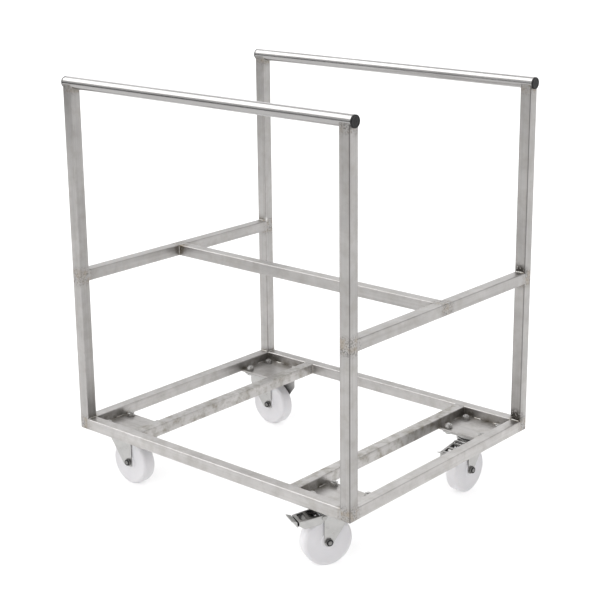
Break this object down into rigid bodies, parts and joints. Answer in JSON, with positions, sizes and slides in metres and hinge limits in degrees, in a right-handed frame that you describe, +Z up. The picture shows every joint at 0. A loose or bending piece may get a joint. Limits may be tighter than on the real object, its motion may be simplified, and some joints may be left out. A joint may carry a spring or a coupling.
{
  "type": "tub trolley",
  "caption": "Open trolley of square tube with a raised round handle along each long side, mid-height rails, and castors, fixed at one end and braked swivel at the other, for moving tubs.",
  "frame": {"origin": "on the floor under the middle of the whole footprint, which takes in the front brake pedal", "axes": "+Z up, +X along the handles towards the swivel castors, -Y towards the front handle"},
  "size_m": [0.9394, 0.7743, 1.0975],
  "materials": {
    "frame_tube": "satin ground",
    "handle_tube": "polished",
    "pressed_steel": "dull pressed sheet",
    "fastener_steel": "plain",
    "nylon": "milky, soft sheen",
    "black_plastic": "moulded"
  },
  "bodies": {
    "frame": {"bearing_balls": "fastener_steel", "front_base_rail": "frame_tube", "front_handle": "handle_tube", "front_handle_caps": "black_plastic", "front_left_axle_bolt": "fastener_steel", "front_left_axle_nut": "fastener_steel", "front_left_axle_tube": "fastener_steel", "front_left_bracket": "pressed_steel", "front_left_mounting_plate": "frame_tube", "front_left_upright": "frame_tube", "front_right_ball_race": "pressed_steel", "front_right_kingpin": "fastener_steel", "front_right_mounting_plate": "frame_tube", "front_right_top_plate": "pressed_steel", "front_right_upright": "frame_tube", "left_base_rail": "frame_tube", "left_inner_rail": "frame_tube", "left_mid_rail": "frame_tube", "mid_crossbar": "frame_tube", "plate_bolts": "fastener_steel", "plate_nuts": "fastener_steel", "plate_washers": "fastener_steel", "rear_base_rail": "frame_tube", "rear_handle": "handle_tube", "rear_handle_caps": "black_plastic", "rear_left_axle_bolt": "fastener_steel", "rear_left_axle_nut": "fastener_steel", "rear_left_axle_tube": "fastener_steel", "rear_left_bracket": "pressed_steel", "rear_left_mounting_plate": "frame_tube", "rear_left_upright": "frame_tube", "rear_right_ball_race": "pressed_steel", "rear_right_kingpin": "fastener_steel", "rear_right_mounting_plate": "frame_tube", "rear_right_top_plate": "pressed_steel", "rear_right_upright": "frame_tube", "right_base_rail": "frame_tube", "right_inner_rail": "frame_tube", "right_mid_rail": "frame_tube", "upright_end_plates": "frame_tube"},
    "front_right_swivel": {"front_right_fork": "pressed_steel", "front_right_axle_tube": "fastener_steel", "front_right_axle_bolt": "fastener_steel", "front_right_axle_nut": "fastener_steel", "front_right_brake_rivet": "fastener_steel"},
    "front_right_roller": {"front_right_wheel": "nylon"},
    "front_right_brake": {"front_right_brake_pedal": "pressed_steel", "front_right_brake_leaf": "pressed_steel"},
    "front_left_roller": {"front_left_wheel": "nylon"},
    "rear_right_swivel": {"rear_right_fork": "pressed_steel", "rear_right_axle_tube": "fastener_steel", "rear_right_axle_bolt": "fastener_steel", "rear_right_axle_nut": "fastener_steel", "rear_right_brake_rivet": "fastener_steel"},
    "rear_right_roller": {"rear_right_wheel": "nylon"},
    "rear_right_brake": {"rear_right_brake_pedal": "pressed_steel", "rear_right_brake_leaf": "pressed_steel"},
    "rear_left_roller": {"rear_left_wheel": "nylon"}
  },
  "joints": [
    {"name": "front_left_wheel_spin", "type": "hinge", "parent": "frame", "child": "front_left_roller", "pos_m": [-0.36, -0.26102, 0.0625], "axis": [0, 1, 0], "continuous": true},
    {"name": "rear_left_wheel_spin", "type": "hinge", "parent": "frame", "child": "rear_left_roller", "pos_m": [-0.36, 0.29498, 0.0625], "axis": [0, 1, 0], "continuous": true},
    {"name": "front_right_swivel", "type": "hinge", "parent": "frame", "child": "front_right_swivel", "pos_m": [0.36, -0.26102, 0.158], "axis": [0, 0, 1], "continuous": true},
    {"name": "front_right_wheel_spin", "type": "hinge", "parent": "front_right_swivel", "child": "front_right_roller", "pos_m": [0.34216, -0.29457, 0.0625], "axis": [-0.8829, 0.4695, 0], "continuous": true},
    {"name": "front_right_brake_press", "type": "hinge", "parent": "front_right_swivel", "child": "front_right_brake", "pos_m": [0.33606, -0.30605, 0.129], "axis": [0.8829, -0.4695, 0], "range_deg": [0, 8]},
    {"name": "rear_right_swivel", "type": "hinge", "parent": "frame", "child": "rear_right_swivel", "pos_m": [0.36, 0.29498, 0.158], "axis": [0, 0, 1], "continuous": true},
    {"name": "rear_right_wheel_spin", "type": "hinge", "parent": "rear_right_swivel", "child": "rear_right_roller", "pos_m": [0.35934, 0.25699, 0.0625], "axis": [-0.9998, 0.0175, 0], "continuous": true},
    {"name": "rear_right_brake_press", "type": "hinge", "parent": "rear_right_swivel", "child": "rear_right_brake", "pos_m": [0.35911, 0.24399, 0.129], "axis": [0.9998, -0.0175, 0], "range_deg": [0, 8]}
  ]
}
